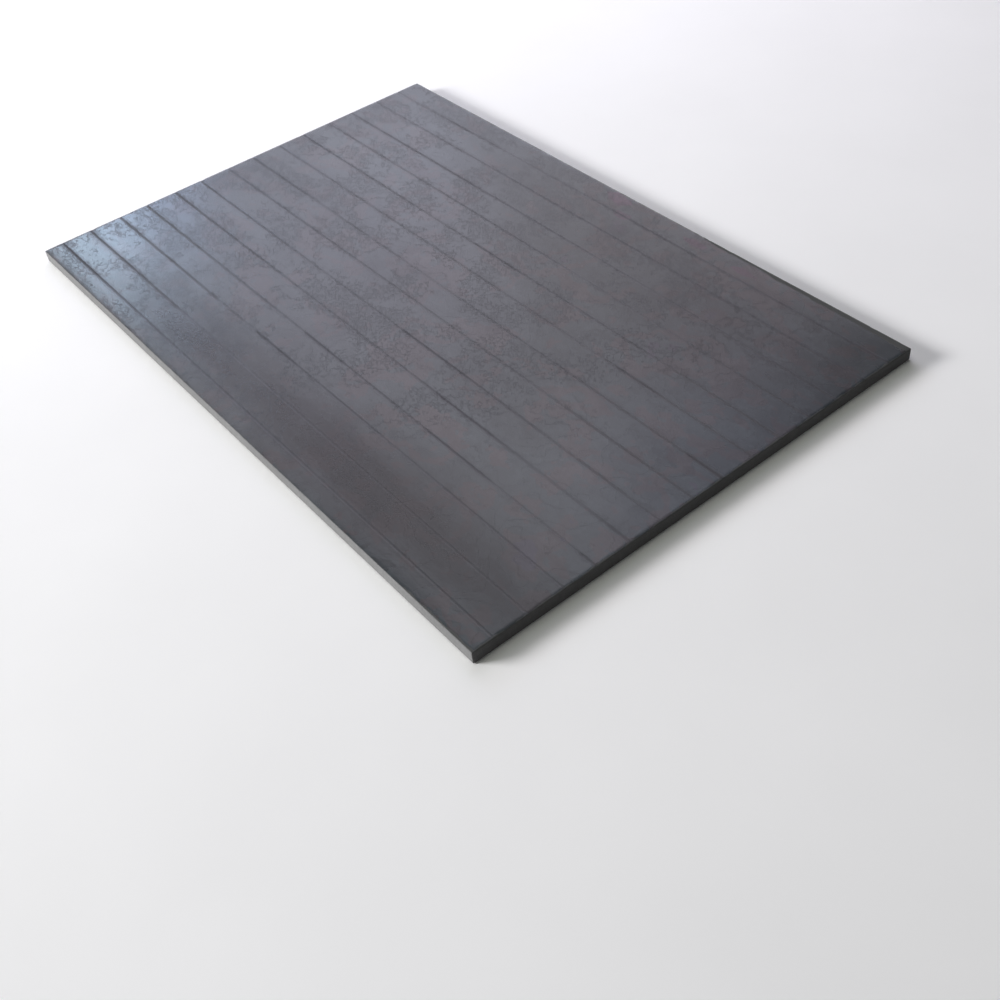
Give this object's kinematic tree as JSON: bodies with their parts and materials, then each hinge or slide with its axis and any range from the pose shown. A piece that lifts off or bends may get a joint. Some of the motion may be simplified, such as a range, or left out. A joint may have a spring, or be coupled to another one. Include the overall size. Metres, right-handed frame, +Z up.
{
  "type": "xps insulation board",
  "caption": "Flat rectangular extruded foam insulation board with a smooth skin and thin lengthwise grooves in one face.",
  "frame": {"origin": "middle of the underside, on the floor that the board lies on", "axes": "+X along the length and the grooves, +Y across the board, +Z up, out of the grooved face"},
  "size_m": [1.2, 0.8, 0.02],
  "materials": {
    "xps_foam": "dark bluish-grey closed-cell foam; the grooved face has a satin extrusion skin, the cut edges and the underside are matte"
  },
  "bodies": {
    "root": {"xps_board": "xps_foam"}
  },
  "joints": []
}
